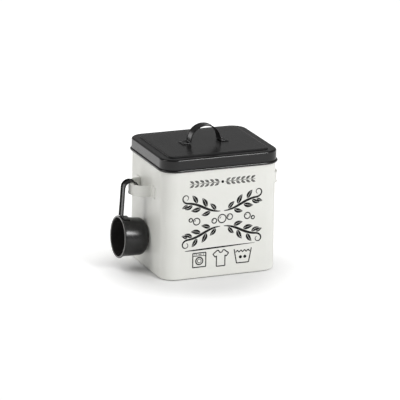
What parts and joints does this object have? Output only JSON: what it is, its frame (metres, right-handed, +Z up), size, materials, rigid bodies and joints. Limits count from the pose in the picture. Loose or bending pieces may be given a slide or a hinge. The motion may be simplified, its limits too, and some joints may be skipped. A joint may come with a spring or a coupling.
{
  "type": "metal laundry powder box",
  "caption": "Enamelled sheet-steel laundry powder box with rounded corners, a lift-off lid with a strap handle, side strap handles and a measuring scoop hung on one of them.",
  "frame": {"origin": "centre of the box's underside, on the ground it stands on", "axes": "+Z up, +X to the right along the box's wider side, -Y out of the front; the scoop hangs on the -X side"},
  "size_m": [0.258, 0.1622, 0.2177],
  "materials": {
    "white_enamel": "satin white coat on sheet steel",
    "black_enamel": "satin black coat on sheet steel"
  },
  "bodies": {
    "box": {"body_shell": "white_enamel", "base_pan": "white_enamel", "left_handle": "white_enamel", "right_handle": "white_enamel", "scoop_cup": "black_enamel", "scoop_handle": "black_enamel"},
    "lid": {"lid_cover": "black_enamel", "lid_handle": "black_enamel"}
  },
  "joints": [
    {"name": "lid_lift", "type": "slide", "parent": "box", "child": "lid", "axis": [0, 0, 1], "range_m": [0, 0.12]}
  ]
}
